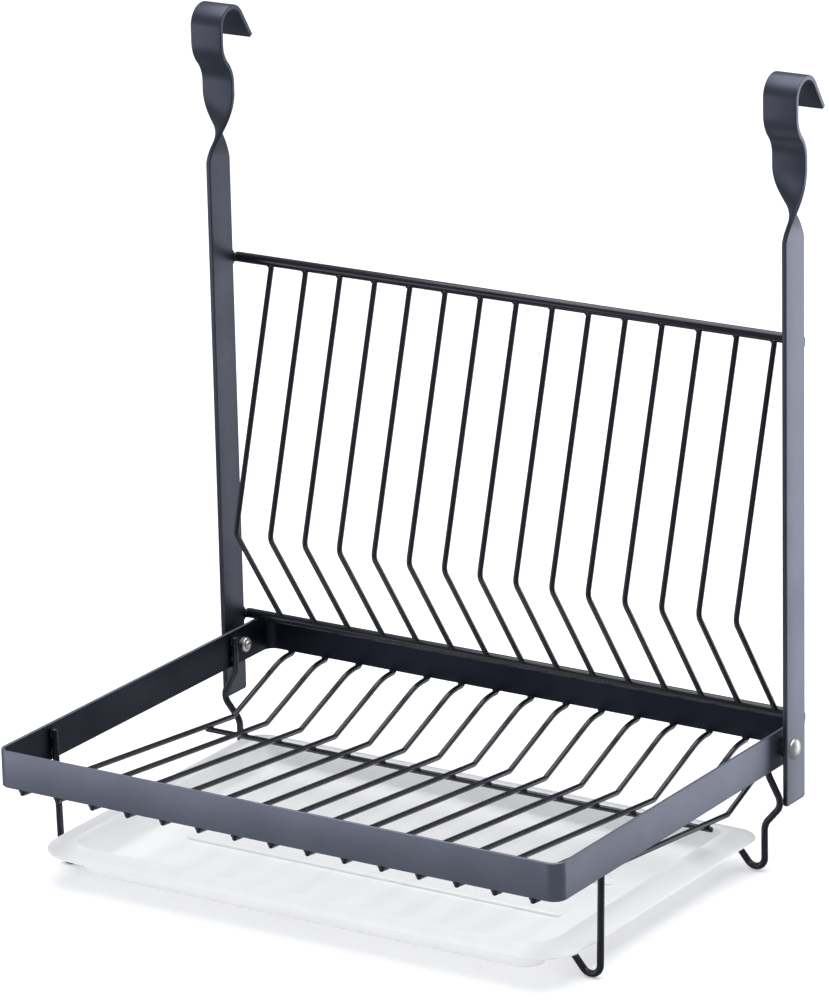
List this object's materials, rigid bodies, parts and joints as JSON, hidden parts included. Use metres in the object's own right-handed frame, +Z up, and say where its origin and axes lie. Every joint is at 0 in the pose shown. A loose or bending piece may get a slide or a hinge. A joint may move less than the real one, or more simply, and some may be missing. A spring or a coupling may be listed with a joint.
{
  "type": "wall-hung folding dish drying rack",
  "caption": "Dish drying rack that hangs from a kitchen rail by two hooks, with upright plate wires, a wire basket that folds up and a drip tray that slides out.",
  "frame": {"origin": "the axis of the rail that the two hooks hang on, midway between the hooks", "axes": "+X along the rail to the right, +Y back to the wall, +Z up"},
  "size_m": [0.3986, 0.2762, 0.4624],
  "materials": {
    "paint": "satin",
    "nickel": "polished",
    "spacer": "matte",
    "tray": "semi-gloss"
  },
  "bodies": {
    "back_frame": {"left_upright": "paint", "right_upright": "paint", "top_crossbar": "paint", "bottom_crossbar": "paint", "plate_wire_01": "paint", "plate_wire_02": "paint", "plate_wire_03": "paint", "plate_wire_04": "paint", "plate_wire_05": "paint", "plate_wire_06": "paint", "plate_wire_07": "paint", "plate_wire_08": "paint", "plate_wire_09": "paint", "plate_wire_10": "paint", "plate_wire_11": "paint", "plate_wire_12": "paint", "plate_wire_13": "paint", "plate_wire_14": "paint", "plate_wire_15": "paint", "pivot_screws": "nickel", "pivot_spacers": "spacer", "pivot_nuts": "nickel"},
    "basket": {"basket_rim": "paint", "floor_wire_01": "paint", "floor_wire_02": "paint", "floor_wire_03": "paint", "floor_wire_04": "paint", "floor_wire_05": "paint", "floor_wire_06": "paint", "floor_wire_07": "paint", "floor_wire_08": "paint", "floor_wire_09": "paint", "floor_wire_10": "paint", "floor_wire_11": "paint", "floor_wire_12": "paint", "floor_wire_13": "paint", "floor_wire_14": "paint", "floor_wire_15": "paint", "floor_cross_wire": "paint", "left_support_wire": "paint", "right_support_wire": "paint"},
    "tray": {"drip_tray": "tray"}
  },
  "joints": [
    {"name": "basket_fold", "type": "hinge", "parent": "back_frame", "child": "basket", "pos_m": [0, -0.003, -0.377], "axis": [-1, 0, 0], "range_deg": [0, 90]},
    {"name": "tray_slide", "type": "slide", "parent": "basket", "child": "tray", "axis": [0, -1, 0], "range_m": [0, 0.17]}
  ]
}
